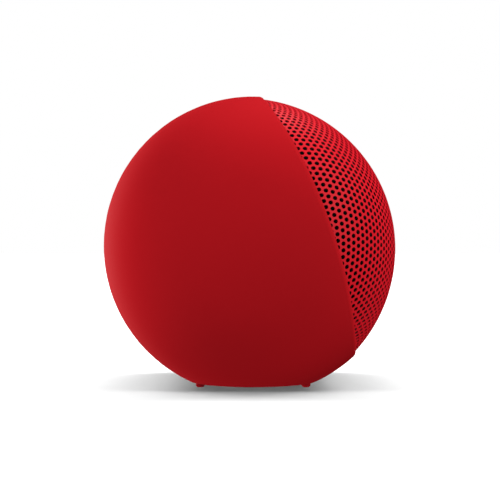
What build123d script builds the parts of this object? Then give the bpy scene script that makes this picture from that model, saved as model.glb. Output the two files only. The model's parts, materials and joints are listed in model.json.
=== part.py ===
"""A portable capsule-shaped speaker: soft skin, inner housing, sheet-steel grille tilted upwards,
a racetrack woofer, a tweeter, two passive radiators, battery, boards, keys and charging port.

Millimetres. X runs along the speaker, -Y is the front and +Z is up. The origin is under the middle
of the speaker, on the surface that its feet stand on. The pieces are modelled about the shell's own
axis and moved to the origin when they are exported. "Front frame" means X along the speaker, Y up
along the tilted baffle and Z straight out of the grille.
"""
from build123d import *
from math import asin, cos, pi, radians, sin, sqrt
import os

# ---- outer form -------------------------------------------------------------------------------
LENGTH = 219.0
SHELL_R = 36.3
END_CROWN_R = 60.0        # shallow dome in the middle of each end
END_CORNER_R = 28.0       # rounder shoulder between that dome and the tube
FLOOR_CUT = 2.2           # how far the flattened underside lies inside the tube
FLOOR_CROWN_R = 167.5     # the underside is nearly flat
FLOOR_BLEND_R = 9.0
TILT = 20.0               # degrees the grille leans back

# ---- skin, housing and grille -------------------------------------------------------------------
SKIN_T = 1.3
HOUSING_T = 2.0
GRILLE_PROUD = 0.3        # the grille's radius over the shell's
GRILLE_SETBACK = 2.2      # the grille's centre lies this far behind the shell's axis
GRILLE_T = 0.8
GRILLE_GAP = 0.05         # grille to the lip that covers its edge
SEAM_G = 14.65            # height of the straight seam above the axis, in the front frame
SEAM_SWEEP_R = 70.0       # the seam sweeps forward round the ends on this radius
LIP_R = 1.5               # rounding of the skin's lip
RIM_DROP = 2.25           # the housing's rim behind the seam
GASKET_T = 0.8
BAFFLE_T = 2.5
BAFFLE_GAP = 0.1
CLOTH_T = 0.3
CLOTH_GAP = 0.05

# ---- feet ---------------------------------------------------------------------------------------
FOOT_SPREAD = 25.8        # between the two rails
FOOT_L = 150.0
FOOT_W = 2.2
FOOT_STAND = 0.4          # below the lowest line of the underside
FOOT_SOCKET = 0.6         # depth of the groove in the skin
FOOT_ROUND = 0.7

# ---- screws ---------------------------------------------------------------------------------------
SCREW_R = 0.95
SCREW_HOLE_R = 1.0
SCREW_HEAD_R = 1.8
SCREW_HEAD_T = 1.2
SCREW_HEAD_ROUND = 0.4
SCREW_CROSS_L, SCREW_CROSS_W = 2.2, 0.4
SCREW_CROSS_DEPTH = 0.5
BOSS_R = 2.8
BOSS_DEPTH = 10.0
BAFFLE_SCREW_L = 8.0
BOSS_WALL_GAP = 2.38      # boss centre in from the housing's inner wall at the rim
BOSS_PITCH = 28.0         # between two screws at one end of the baffle
BOSS_END = 25.5           # outer screw to the end of the speaker
BOSS_WEB_T = 2.0          # rib that ties a boss to the wall
BOSS_FLOOR_T = 1.5        # solid below the hole in a boss

# ---- drivers ----------------------------------------------------------------------------------------
FLANGE_T = 1.5
DRIVER_GAP = 0.3          # tub to the edge of its hole in the baffle
TUB_WALL = 1.2
ROLL_T = 0.5              # rubber of the surrounds
WOOFER_X = -18.0
WOOFER_L, WOOFER_H = 70.0, 46.0
WOOFER_RING = 4.0         # width of the flange
WOOFER_ROLL_R = 2.0
WOOFER_SCREW_PITCH = 22.0
CONE_T = 0.6
CONE_DEPTH = 6.2
CONE_TAPER = 42.0         # degrees from the cone's axis
TUB_DEPTH = 10.8          # flange's face to the tub's floor
TUB_FLOOR_T = 1.5
TUB_BORE_R = 17.0
VENT_PITCH, VENT_W = 16.0, 10.0
VENT_FOOT = 0.6           # vent above the tub's floor
VENT_HEAD = 0.5           # vent below the baffle
CAN_R = 18.5
CAN_DROP = 2.5            # can's floor behind the tub's
CAN_FLOOR_T = 1.5
CAN_PLATE_R = 11.6
COIL_R = 9.8
FORMER_T = 0.3
FORMER_RISE = 2.0         # former above the back of the cone
WINDING_T = 0.3
WINDING_L = 3.6
CAP_BALL_R, CAP_T = 20.0, 0.5
SPIDER_T = 0.3
SPIDER_LAND = 1.2         # flat rim glued to the basket
SPIDER_PLEATS, SPIDER_PLEAT_H = 3, 0.5
YOKE_R = 14.0
YOKE_BORE_R = 11.2
POLE_R = 9.3
POLE_T = 1.7
MAGNET_T = 4.5
MAGNET_IN = 0.3           # magnet's edge inside the pole plate's
YOKE_FLOOR_T = 2.0
YOKE_ROUND = 0.8
DRIVER_SCREW_L = 3.6
TERMINAL_T, TERMINAL_W, TERMINAL_H = 1.2, 8.0, 6.6
TWEETER_X = 37.0
TWEETER_FLANGE_R = 13.0
TWEETER_CAN_R = 10.5
TWEETER_CAN_L = 10.2
TWEETER_EAR = 0.6         # lug round each of its screws
TWEETER_BALL_R = 9.0
TWEETER_FOIL_T = 0.3
TWEETER_COIL_R = 5.7
TWEETER_COIL_L = 3.8
TWEETER_SLOT = 0.6        # air beside the coil
TWEETER_YOKE_SINK = 1.2
RADIATOR_INSET = 32.5     # radiator's centre to the end of the speaker
RADIATOR_L, RADIATOR_H = 34.0, 46.0
RADIATOR_RING = 3.0
RADIATOR_ROLL_R = 2.4
RADIATOR_DEPTH = 6.0
RADIATOR_PLATE_T = 2.2

# ---- battery, boards, port ------------------------------------------------------------------------
CELL_R, CELL_L = 9.2, 65.0
CELL_SPREAD = 20.0
CELL_GAP = 0.15
CELL_G = -19.0
CELL_END_X = -13.0
CELL_CAP_R, CELL_CAP_L = 3.0, 1.2
CELL_ROUND = 0.8
TAB_W, TAB_T = 4.0, 0.3
CRADLE_T = 2.0
CRADLE_W = 41.0
CRADLE_NOTCH = 3.5        # end wall cut down below the cells' axes, for their contacts
CLAMP_W = 12.0
CLAMP_T = 1.2
BOARD_T = 1.6
BOARD_X0, BOARD_X1 = 10.0, 64.0
BOARD_W = 40.0
BOARD_G = -12.0           # front face of the main board
BOARD_HOLE_IN = 4.0       # screw centre in from the board's edges
BOARD_CORNER_R = 1.5
BOARD_SCREW_L = 5.0
# parts on the main board in the front frame: centre x and y, then length, width and height
CHIPS = [(32.0, 8.0, 10.0, 10.0, 1.2), (32.0, -8.0, 8.0, 8.0, 1.0), (44.0, 6.0, 8.0, 10.0, 2.2),
         (46.0, -9.0, 6.5, 6.5, 3.8), (54.0, -9.0, 6.5, 6.5, 3.8), (24.0, 12.0, 6.0, 4.0, 2.5)]
CAPACITOR_R, CAPACITOR_H, CAPACITOR_Y = 2.9, 6.5, -15.0
CAPACITOR_XS = (24.0, 31.0)
PLUG_W, PLUG_L, PLUG_H = 4.0, 6.0, 3.0
SPEAKER_LEAD_RUN = 9.8    # from the woofer's terminal to the leads' plug, along the speaker
BATTERY_PLUG_X, BATTERY_PLUG_Y = 16.0, 6.0
KEY_PLUG_Y = 16.0
PORT_X, PORT_Z = 0.0, -4.0
PORT_L, PORT_H = 8.94, 3.16
PORT_WALL = 0.3
PORT_DEPTH = 7.35
PORT_BEZEL_L, PORT_BEZEL_H = 12.4, 6.4
PORT_SINK = 0.9           # receptacle's mouth behind the shell's radius
PORT_FLOOR_T = 1.0
TONGUE_L, TONGUE_T = 6.7, 0.7
TONGUE_SINK = 0.8         # tongue's tip behind the mouth
PORT_BOARD_L = 16.0
PORT_BOARD_TAIL = 3.0     # board behind the receptacle
PORT_BOARD_IN = 1.2       # board's edge behind the housing's inner face
PORT_SHELF_W, PORT_SHELF_L, PORT_SHELF_T = 18.0, 9.0, 2.0
FIT_GAP = 0.1             # bezel, cup and light pipe in their cut-outs
TRIM_SINK = 0.25          # their faces behind the skin's

# ---- keys -----------------------------------------------------------------------------------------
KEY_LEAN = 14.0           # degrees behind the vertical
KEY_R = 4.6
PLAY_KEY_R = 6.4
KEY_XS = {"power_key": -42.0, "volume_down_key": -18.0, "play_key": 0.0, "volume_up_key": 18.0}
KEY_GAP = 0.15
KEY_PROUD = 0.35
KEY_ROUND = 0.3
KEY_FLANGE_GAP = 0.1      # flange to the housing
KEY_SWITCH_GAP = 0.1      # stem to the switch when the key is down
KEY_TRAVEL = 0.5
KEY_FLANGE = 0.9
KEY_FLANGE_T = 0.9
KEY_MARK_DEPTH = 0.25
KEY_MARK_W = 0.7
KEY_MARK_L = 3.4
POWER_BAR_FOOT, POWER_BAR_PROUD = 0.3, 0.4
PLAY_BAR_X, PLAY_BAR_PITCH = 2.2, 1.4
PLAY_MARK_SHIFT = 1.2     # centres the triangle and its two bars on the key
STEM_R = 1.2
SWITCH_H = 1.5
SWITCH_NUB_R, SWITCH_NUB_H = 0.9, 0.5
SWITCH_W = 4.5
KEY_BOARD_T = 1.0
KEY_BOARD_W = 11.0
KEY_BOARD_DROP = 7.0      # underside of the key board behind the housing's inner face
KEY_BOARD_X0, KEY_BOARD_X1 = -49.0, 44.0
BRACKET_T = 1.2
BRACKET_W = 18.0
BRACKET_TAIL = 1.0        # bracket past the key board at the power key's end
BRACKET_SHORT = 3.0       # and short of it at the cable's end
LIGHT_X, LIGHT_R = -30.5, 0.9
LED_L, LED_W, LED_H = 1.6, 0.8, 0.5
LIGHT_SINK = 0.05
MIC_X, MIC_HOLE_R = 36.0, 0.6
MIC_L, MIC_W, MIC_H = 3.5, 2.65, 1.0
MIC_BOOT_R = 1.5

# ---- lanyard anchor ---------------------------------------------------------------------------------
ANCHOR_INSET = 34.0       # anchor's centre to the end of the speaker
POCKET_W, POCKET_H, POCKET_D = 15.0, 8.4, 10.0
POCKET_WALL = 1.4
POCKET_CORNER = 2.0
CUP_FLANGE, CUP_FLANGE_T = 2.0, 1.2
ANCHOR_BAR_R = 1.2
ANCHOR_BAR_SINK = 3.2     # bar's axis behind the shell's radius
ANCHOR_BAR_HOLD = 1.0     # how far the bar goes into each wall

# ---- wires ------------------------------------------------------------------------------------------
WIRE_R = 0.7
WIRE_BEND = 3.0
WIRE_GAP = 0.3            # half the gap between the two wires of a pair

BIG = 2 * LENGTH + 4 * SHELL_R          # longer than the speaker in any direction
OVER = 1.0                              # how far a cutting shape overshoots what it cuts
FLOOR_DROP = SHELL_R - FLOOR_CUT        # axis to the lowest line of the underside
GRILLE_ARC_R = SHELL_R + GRILLE_PROUD
TUBE_HALF = LENGTH / 2 - END_CROWN_R + (END_CROWN_R - END_CORNER_R) * cos(
    asin((SHELL_R - END_CORNER_R) / (END_CROWN_R - END_CORNER_R)))
AXIS_Z = FLOOR_DROP + FOOT_STAND
FRONT_REACH = GRILLE_ARC_R - GRILLE_SETBACK * cos(radians(TILT))
AXIS_Y = (FRONT_REACH - SHELL_R) / 2
HOUSING_IN = SKIN_T + HOUSING_T         # from the outer form to the housing's inner face
CAVITY_R = SHELL_R - HOUSING_IN
RIM_G = SEAM_G - RIM_DROP
BAFFLE_BACK = RIM_G + GASKET_T
BAFFLE_FRONT = BAFFLE_BACK + BAFFLE_T
FLANGE_FRONT = BAFFLE_FRONT + FLANGE_T
TUB_FLOOR_G = FLANGE_FRONT - TUB_DEPTH
TERMINAL_X = WOOFER_X + WOOFER_L / 2 - WOOFER_RING + TERMINAL_T
SPEAKER_PLUG_X = TERMINAL_X + SPEAKER_LEAD_RUN
KEY_BOARD_Z = CAVITY_R - KEY_BOARD_DROP
LIFT = Align.MIN
UPRIGHT = (Align.CENTER, Align.CENTER, Align.MIN)


# ---- frames and plain shapes ------------------------------------------------------------------------
def front(shape):
    """Leans a shape made in the front frame back by TILT."""
    return Rot(90 - TILT, 0, 0) * shape


def rearward(x, z, shape):
    """Places a shape whose Z points out of the back, at x along and z above the axis."""
    return Pos(x, 0, z) * Rot(-90, 0, 0) * shape


def keyward(x, shape):
    """Places a shape whose Z points out through the key strip, at x along the speaker."""
    return Pos(x, 0, 0) * Rot(-KEY_LEAN, 0, 0) * shape


def block(x0, x1, y0, y1, z0, z1):
    """A box between two corners."""
    return Pos(x0, y0, z0) * Box(x1 - x0, y1 - y0, z1 - z0, align=(LIFT, LIFT, LIFT))


def slab(low, high):
    """Everything between two heights, in the front frame."""
    return block(-BIG / 2, BIG / 2, -BIG / 2, BIG / 2, low, high)


def disc(radius, low, high, x=0.0, y=0.0):
    """A cylinder along Z between two heights."""
    return Pos(x, y, low) * Cylinder(radius, high - low, align=UPRIGHT)


def ring(outer, inner, low, high, x=0.0, y=0.0):
    """A tube along Z between two heights."""
    return disc(outer, low, high, x, y) - disc(inner, low, high, x, y)


def track(length, height, low, high, x=0.0):
    """A racetrack-shaped block between two heights; the longer side may be either one."""
    turn = 0 if length >= height else 90
    outline = SlotOverall(max(length, height), min(length, height), rotation=turn)
    return Pos(x, 0, low) * extrude(outline, high - low)


# ---- outer form ---------------------------------------------------------------------------------
def capsule(radius, inset=0.0):
    """The solid of revolution about X whose surface lies inset inside the tube of that radius."""
    crown, corner = END_CROWN_R - inset, END_CORNER_R - inset
    turn = asin((radius - END_CORNER_R) / (END_CROWN_R - END_CORNER_R))
    crown_x = LENGTH / 2 - END_CROWN_R
    corner_x = crown_x + (END_CROWN_R - END_CORNER_R) * cos(turn)
    corner_y = radius - END_CORNER_R
    middle = (turn + pi / 2) / 2
    tip = (crown_x + crown, 0)
    join = (crown_x + crown * cos(turn), crown * sin(turn))
    shoulder = (corner_x, corner_y + corner)
    dome = ThreePointArc(tip, (crown_x + crown * cos(turn / 2), crown * sin(turn / 2)), join)
    corner_arc = ThreePointArc(
        join, (corner_x + corner * cos(middle), corner_y + corner * sin(middle)), shoulder)
    half = dome + corner_arc + Line(shoulder, (0, shoulder[1]))
    outline = half + mirror(half, Plane.YZ) + Line((-tip[0], 0), tip)
    return revolve(make_face(outline), Axis.X)


def body(inset=0.0):
    """The capsule with its flattened underside, moved in by inset."""
    floor = Pos(0, 0, FLOOR_CROWN_R - FLOOR_DROP) * Rot(0, 90, 0) * Cylinder(
        FLOOR_CROWN_R - inset, BIG)
    return capsule(SHELL_R, inset) & floor


def soft_body():
    """The outer form with the rounding all round its underside."""
    form = body()
    underside = form.faces().sort_by(Axis.Z)[0]
    return fillet(underside.edges(), FLOOR_BLEND_R)


def grille_form(inset=0.0):
    """The grille's own capsule, set back from the shell's axis, moved in by inset."""
    return front(Pos(0, 0, -GRILLE_SETBACK) * capsule(GRILLE_ARC_R, inset))


def seam_rise(x):
    """How far the seam has swept forward at x."""
    past = max(0.0, abs(x) - TUBE_HALF)
    return SEAM_SWEEP_R - sqrt(SEAM_SWEEP_R ** 2 - past ** 2)


def seam_cutter():
    """Everything in front of the seam."""
    reach = LENGTH / 2 + 5 * OVER
    bend = (reach + TUBE_HALF) / 2
    top = BIG / 2
    side = ThreePointArc((TUBE_HALF, SEAM_G), (bend, SEAM_G + seam_rise(bend)),
                         (reach, SEAM_G + seam_rise(reach)))
    half = Line((0, SEAM_G), (TUBE_HALF, SEAM_G)) + side
    outline = half + mirror(half, Plane.YZ) + Polyline(
        side @ 1, (reach, top), (-reach, top), (-reach, SEAM_G + seam_rise(reach)))
    return front(extrude(Plane.XZ * make_face(outline), BIG / 2, both=True))


def behind_seam():
    """The outer form behind the seam, with its lip rounded."""
    cut = soft_body() - seam_cutter()
    core = body(LIP_R)
    lip = ShapeList()
    for edge in cut.edges():
        x, _, g = front_coordinates(edge @ 0.5)
        on_seam = abs(g - SEAM_G - seam_rise(x)) < 0.001
        if on_seam and not core.is_inside(edge @ 0.5):
            lip.append(edge)
    return fillet(lip, LIP_R)


def front_coordinates(point):
    """A point of the model in the front frame."""
    lean = radians(90 - TILT)
    return (point.X, point.Y * cos(lean) + point.Z * sin(lean),
            -point.Y * sin(lean) + point.Z * cos(lean))


# ---- skin, housing, grille ------------------------------------------------------------------------
def key_holes(gap):
    """The holes that the keys, the light pipe and the microphone need, widened by gap."""
    tools = []
    for name, x in KEY_XS.items():
        tools.append(keyward(x, disc(key_radius(name) + gap, CAVITY_R / 2, BIG / 2)))
    tools.append(keyward(LIGHT_X, disc(LIGHT_R + FIT_GAP, CAVITY_R / 2, BIG / 2)))
    tools.append(keyward(MIC_X, disc(MIC_HOLE_R, CAVITY_R / 2, BIG / 2)))
    return tools


def port_hole():
    return rearward(PORT_X, PORT_Z, track(
        PORT_BEZEL_L + 2 * FIT_GAP, PORT_BEZEL_H + 2 * FIT_GAP, CAVITY_R / 2, BIG / 2))


def cup_block(gap, low):
    """The lanyard cup's outside, grown by gap, from low outwards."""
    outline = RectangleRounded(POCKET_W + 2 * (POCKET_WALL + gap), POCKET_H + 2 * (POCKET_WALL + gap),
                               POCKET_CORNER + POCKET_WALL)
    return rearward(LENGTH / 2 - ANCHOR_INSET, 0, Pos(0, 0, low) * extrude(outline, BIG / 2))


def foot_outline(grow=0.0):
    return SlotOverall(FOOT_L + 2 * grow, FOOT_W + 2 * grow)


def foot_top():
    """Height of the top of the feet, from the axis: FOOT_SOCKET into the underside at the rail."""
    sag = FLOOR_CROWN_R - sqrt(FLOOR_CROWN_R ** 2 - (FOOT_SPREAD / 2) ** 2)
    return -FLOOR_DROP + sag + FOOT_SOCKET


def outer_skin():
    skin = behind_seam() - body(SKIN_T)
    skin -= grille_form(-GRILLE_GAP) & front(slab(BAFFLE_BACK + GRILLE_GAP, BIG / 2))
    for tool in key_holes(KEY_GAP):
        skin -= tool
    skin -= port_hole()
    skin -= cup_block(FIT_GAP, CAVITY_R / 2)
    for side in (-1, 1):
        skin -= Pos(0, side * FOOT_SPREAD / 2, foot_top()) * extrude(foot_outline(), -BIG / 4)
    return skin


def boss_places():
    """(x, y) of each baffle screw in the front frame: two at each corner, one low in the middle."""
    y = sqrt(CAVITY_R ** 2 - RIM_G ** 2) - BOSS_WALL_GAP
    outer = LENGTH / 2 - BOSS_END
    places = [(side * x, y * up) for side in (-1, 1) for x in (outer, outer - BOSS_PITCH)
              for up in (-1, 1)]
    return places + [(0.0, -y)]


def board_holes():
    """(x, y) of each main board screw in the front frame."""
    return [(x, y) for x in (BOARD_X0 + BOARD_HOLE_IN, BOARD_X1 - BOARD_HOLE_IN)
            for y in (BOARD_HOLE_IN - BOARD_W / 2, BOARD_W / 2 - BOARD_HOLE_IN)]


def rear_housing():
    wall = body(SKIN_T)
    cavity = body(HOUSING_IN)
    tub = wall - cavity - front(slab(RIM_G, BIG / 2))
    inside = body((SKIN_T + HOUSING_IN) / 2)
    for x, y in boss_places():
        towards = 1 if y > 0 else -1
        boss = disc(BOSS_R, RIM_G - BOSS_DEPTH, RIM_G, x, y)
        web = block(x - BOSS_WEB_T / 2, x + BOSS_WEB_T / 2,
                    min(y, towards * BIG / 4), max(y, towards * BIG / 4),
                    RIM_G - BOSS_DEPTH, RIM_G)
        tub += front(boss + web) & inside
    for x, y in boss_places():
        tub -= front(disc(SCREW_HOLE_R, RIM_G - BOSS_DEPTH + BOSS_FLOOR_T, RIM_G, x, y))
    for x, y in board_holes():
        post = disc(BOSS_R, -BIG / 4, BOARD_G - BOARD_T, x, y)
        tub += front(post) & inside
        tub -= front(disc(SCREW_HOLE_R, BOARD_G - BOARD_T - BOARD_SCREW_L, BOARD_G - BOARD_T, x, y))
    shelf_y = PORT_H / 2 + BOARD_T
    shelf = block(-PORT_SHELF_W / 2, PORT_SHELF_W / 2, shelf_y, shelf_y + PORT_SHELF_T,
                  CAVITY_R - PORT_SHELF_L, SHELL_R)
    tub += rearward(PORT_X, PORT_Z, shelf) & inside
    for tool in key_holes(KEY_GAP):
        tub -= tool
    tub -= port_hole()
    tub -= cup_block(FIT_GAP, CAVITY_R / 2)
    return tub


def baffle_gasket():
    band = front(slab(RIM_G, BAFFLE_BACK)) & grille_form(GRILLE_T + 3 * BAFFLE_GAP)
    band -= body(HOUSING_IN)
    for x, y in boss_places():
        band -= front(disc(BOSS_R, RIM_G, BAFFLE_BACK, x, y))
    return band


def front_grille():
    shell = grille_form() - grille_form(GRILLE_T)
    return shell & front(slab(BAFFLE_BACK + 2 * GRILLE_GAP, BIG / 2))


def acoustic_cloth():
    lining = grille_form(GRILLE_T + CLOTH_GAP) - grille_form(GRILLE_T + CLOTH_GAP + CLOTH_T)
    return lining & front(slab(BAFFLE_FRONT + CLOTH_GAP, BIG / 2))


def radiator_x(side):
    return side * (LENGTH / 2 - RADIATOR_INSET)


def front_baffle():
    plate = front(slab(BAFFLE_BACK, BAFFLE_FRONT)) & grille_form(GRILLE_T + BAFFLE_GAP)
    low, high = BAFFLE_BACK - OVER, BAFFLE_FRONT + OVER
    grow = 2 * DRIVER_GAP
    holes = [track(WOOFER_L - 2 * WOOFER_RING + grow, WOOFER_H - 2 * WOOFER_RING + grow,
                   low, high, WOOFER_X),
             disc(TWEETER_CAN_R + DRIVER_GAP, low, high, TWEETER_X)]
    for side in (-1, 1):
        holes.append(track(RADIATOR_L - 2 * RADIATOR_RING + grow,
                           RADIATOR_H - 2 * RADIATOR_RING + grow, low, high, radiator_x(side)))
    for x, y in boss_places():
        holes.append(disc(SCREW_HOLE_R, low, high, x, y))
        holes.append(disc(SCREW_HEAD_R + DRIVER_GAP, BAFFLE_FRONT - SCREW_HEAD_T, high, x, y))
    for x, y in woofer_screw_places() + tweeter_screw_places():
        holes.append(disc(SCREW_HOLE_R, low, high, x, y))
    return plate - [front(hole) for hole in holes]


def screw(x, y, seat, length):
    """A pan-head screw in the front frame: its head stands on seat and its shank goes back."""
    head = fillet(disc(SCREW_HEAD_R, 0, SCREW_HEAD_T).edges().group_by(Axis.Z)[-1],
                  SCREW_HEAD_ROUND)
    slot = block(-SCREW_CROSS_L / 2, SCREW_CROSS_L / 2, -SCREW_CROSS_W / 2, SCREW_CROSS_W / 2,
                 SCREW_HEAD_T - SCREW_CROSS_DEPTH, SCREW_HEAD_T + OVER)
    cross = slot + Rot(0, 0, 90) * slot
    shank = disc(SCREW_R, -length, 0)
    return front(Pos(x, y, seat) * (head + shank - cross))


def baffle_screws():
    seat = BAFFLE_FRONT - SCREW_HEAD_T
    return [screw(x, y, seat, BAFFLE_SCREW_L) for x, y in boss_places()]


def foot(side):
    depth = AXIS_Z + foot_top()
    rail = Pos(0, 0, foot_top()) * extrude(foot_outline(), -depth)
    rail = fillet(rail.edges().group_by(Axis.Z)[0], FOOT_ROUND)
    return Pos(0, side * FOOT_SPREAD / 2, 0) * rail


# ---- drivers ----------------------------------------------------------------------------------------
def roll(length, height, radius, base, x):
    """A half-round rubber surround; the racetrack is the middle line of the roll."""
    outer = SlotOverall(length, height, rotation=0)
    path = outer.wires()[0]
    start = path @ 0
    across = Plane(origin=start, x_dir=(path % 0).cross(Vector(0, 0, 1)), z_dir=path % 0)
    half = Circle(radius + ROLL_T / 2) - Circle(radius - ROLL_T / 2)
    half &= Pos(0, radius) * Rectangle(4 * radius, 2 * radius)
    section = across * half
    if section.bounding_box().max.Z < radius:
        section = across * Rot(0, 0, 180) * half
    return Pos(x, 0, base) * sweep(section, path=path)


def woofer_screw_places():
    y = WOOFER_H / 2 - WOOFER_RING / 2
    return [(WOOFER_X + side * WOOFER_SCREW_PITCH / 2, y * up) for side in (-1, 1) for up in (-1, 1)]


def tweeter_screw_places():
    reach = TWEETER_FLANGE_R + SCREW_HEAD_R - TWEETER_EAR
    return [(TWEETER_X, reach * up) for up in (-1, 1)]


def woofer_parts():
    inner_l, inner_h = WOOFER_L - 2 * WOOFER_RING, WOOFER_H - 2 * WOOFER_RING
    can_floor = TUB_FLOOR_G - CAN_DROP
    x = WOOFER_X
    flange = track(WOOFER_L, WOOFER_H, BAFFLE_FRONT, FLANGE_FRONT, x)
    tub = track(inner_l, inner_h, TUB_FLOOR_G, FLANGE_FRONT, x)
    hollow = track(inner_l - 2 * TUB_WALL, inner_h - 2 * TUB_WALL,
                   TUB_FLOOR_G + TUB_FLOOR_T, FLANGE_FRONT, x)
    can = disc(CAN_R, can_floor, TUB_FLOOR_G + TUB_FLOOR_T, x)
    basket = flange + tub + can - hollow
    basket -= disc(TUB_BORE_R, can_floor + CAN_FLOOR_T, BIG / 4, x)
    basket -= disc(CAN_PLATE_R, can_floor - OVER, BIG / 4, x)
    vent_low, vent_high = TUB_FLOOR_G + TUB_FLOOR_T + VENT_FOOT, BAFFLE_BACK - VENT_HEAD
    for step in (-1, 0, 1):
        middle = x + step * VENT_PITCH
        basket -= block(middle - VENT_W / 2, middle + VENT_W / 2, -WOOFER_H, WOOFER_H,
                        vent_low, vent_high)
    for sx, sy in woofer_screw_places():
        basket -= disc(SCREW_HOLE_R, BAFFLE_FRONT - OVER, FLANGE_FRONT + OVER, sx, sy)
    middle_l = inner_l - 2 * WOOFER_ROLL_R - ROLL_T
    middle_h = inner_h - 2 * WOOFER_ROLL_R - ROLL_T
    edge_l, edge_h = middle_l - 2 * WOOFER_ROLL_R + ROLL_T, middle_h - 2 * WOOFER_ROLL_R + ROLL_T
    bowl = Pos(x, 0, FLANGE_FRONT) * extrude(
        SlotOverall(edge_l, edge_h), -CONE_DEPTH, taper=CONE_TAPER)
    scoop = Pos(x, 0, FLANGE_FRONT + CONE_T) * extrude(
        SlotOverall(edge_l, edge_h), -CONE_DEPTH, taper=CONE_TAPER)
    cone_base = FLANGE_FRONT - CONE_DEPTH
    former_r = COIL_R + FORMER_T
    former_top = cone_base + FORMER_RISE
    cone = bowl - scoop - disc(former_r, cone_base - OVER, former_top + OVER, x)
    cap_z = former_top - sqrt(CAP_BALL_R ** 2 - former_r ** 2)
    dust_cap = Pos(x, 0, cap_z) * (Sphere(CAP_BALL_R) - Sphere(CAP_BALL_R - CAP_T))
    dust_cap &= disc(former_r, former_top, BIG / 4, x)
    magnet_top = can_floor - POLE_T
    coil_low = can_floor - POLE_T / 2 - WINDING_L / 2
    former = ring(former_r, COIL_R, coil_low, former_top, x)
    winding = ring(former_r + WINDING_T, former_r, coil_low, coil_low + WINDING_L, x)
    pole = disc(POLE_R, magnet_top, can_floor, x)
    magnet = disc(POLE_R - MAGNET_IN, magnet_top - MAGNET_T, magnet_top, x)
    yoke_floor = magnet_top - MAGNET_T
    yoke = disc(YOKE_R, yoke_floor - YOKE_FLOOR_T, can_floor, x)
    yoke -= disc(YOKE_BORE_R, yoke_floor, can_floor + OVER, x)
    yoke = fillet(yoke.edges().group_by(Axis.Z)[0], YOKE_ROUND)
    spider_z = TUB_FLOOR_G + TUB_FLOOR_T
    spider = corrugated(former_r, TUB_BORE_R + SPIDER_LAND / 2, spider_z, x)
    terminal = block(x + inner_l / 2, x + inner_l / 2 + TERMINAL_T, -TERMINAL_W / 2, TERMINAL_W / 2,
                     TUB_FLOOR_G + TERMINAL_T, TUB_FLOOR_G + TERMINAL_H)
    return {
        "woofer_basket": basket, "woofer_cone": cone, "woofer_dust_cap": dust_cap,
        "woofer_surround": roll(middle_l, middle_h, WOOFER_ROLL_R, FLANGE_FRONT, x),
        "woofer_coil_former": former, "woofer_winding": winding, "woofer_pole_plate": pole,
        "woofer_magnet": magnet, "woofer_yoke": yoke, "woofer_spider": spider,
        "woofer_terminal": terminal,
    }


def corrugated(inner, outer, base, x):
    """A ring of pleated cloth, flat on its outer land."""
    step = (outer - SPIDER_LAND - inner) / (2 * SPIDER_PLEATS)
    points = [(inner, 0)]
    for i in range(1, 2 * SPIDER_PLEATS):
        points.append((inner + i * step, SPIDER_PLEAT_H if i % 2 else 0))
    points += [(outer - SPIDER_LAND, 0), (outer, 0)]
    under = Polyline(*points)
    over = Pos(0, SPIDER_T) * under
    outline = under + over + Line(under @ 0, over @ 0) + Line(under @ 1, over @ 1)
    return Pos(x, 0, base) * revolve(Plane.XZ * make_face(outline), Axis.Z)


def tweeter_parts():
    x, base = TWEETER_X, FLANGE_FRONT
    bore = TWEETER_CAN_R - TUB_WALL
    floor = base - TWEETER_CAN_L + TUB_WALL
    frame = disc(TWEETER_FLANGE_R, BAFFLE_FRONT, base, x)
    for sx, sy in tweeter_screw_places():
        frame += disc(SCREW_HEAD_R + TWEETER_EAR, BAFFLE_FRONT, base, sx, sy)
        frame -= disc(SCREW_HOLE_R, BAFFLE_FRONT, base, sx, sy)
    frame += disc(TWEETER_CAN_R, base - TWEETER_CAN_L, base, x)
    frame -= disc(bore, floor, base, x)
    coil_r = TWEETER_COIL_R + TWEETER_FOIL_T
    centre = base - sqrt(TWEETER_BALL_R ** 2 - coil_r ** 2)
    dome = Pos(x, 0, centre) * (Sphere(TWEETER_BALL_R) - Sphere(TWEETER_BALL_R - TWEETER_FOIL_T))
    dome &= disc(coil_r, base, BIG / 4, x)
    dome += ring(coil_r + TWEETER_FOIL_T, TWEETER_COIL_R - TWEETER_FOIL_T,
                 base - TWEETER_FOIL_T, base, x)
    coil = ring(coil_r, TWEETER_COIL_R, base - TWEETER_COIL_L, base - TWEETER_FOIL_T, x)
    roll_r = (bore + TWEETER_FOIL_T - coil_r) / 2
    arch = Circle(roll_r) - Circle(roll_r - TWEETER_FOIL_T)
    arch &= Pos(0, roll_r) * Rectangle(4 * roll_r, 2 * roll_r)
    surround = revolve(Plane.XZ * (Pos(coil_r + roll_r, 0) * arch), Axis.Z)
    slot = coil_r + TWEETER_SLOT
    yoke = disc(bore - TWEETER_SLOT, floor, base - TWEETER_YOKE_SINK, x)
    yoke -= disc(slot, floor + YOKE_FLOOR_T, base, x)
    magnet = disc(TWEETER_COIL_R - TWEETER_SLOT, floor + YOKE_FLOOR_T,
                  base - 2 * TWEETER_YOKE_SINK, x)
    return {
        "tweeter_frame": frame, "tweeter_dome": dome, "tweeter_coil": coil,
        "tweeter_surround": Pos(x, 0, base) * surround, "tweeter_yoke": yoke,
        "tweeter_magnet": magnet,
    }


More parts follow.
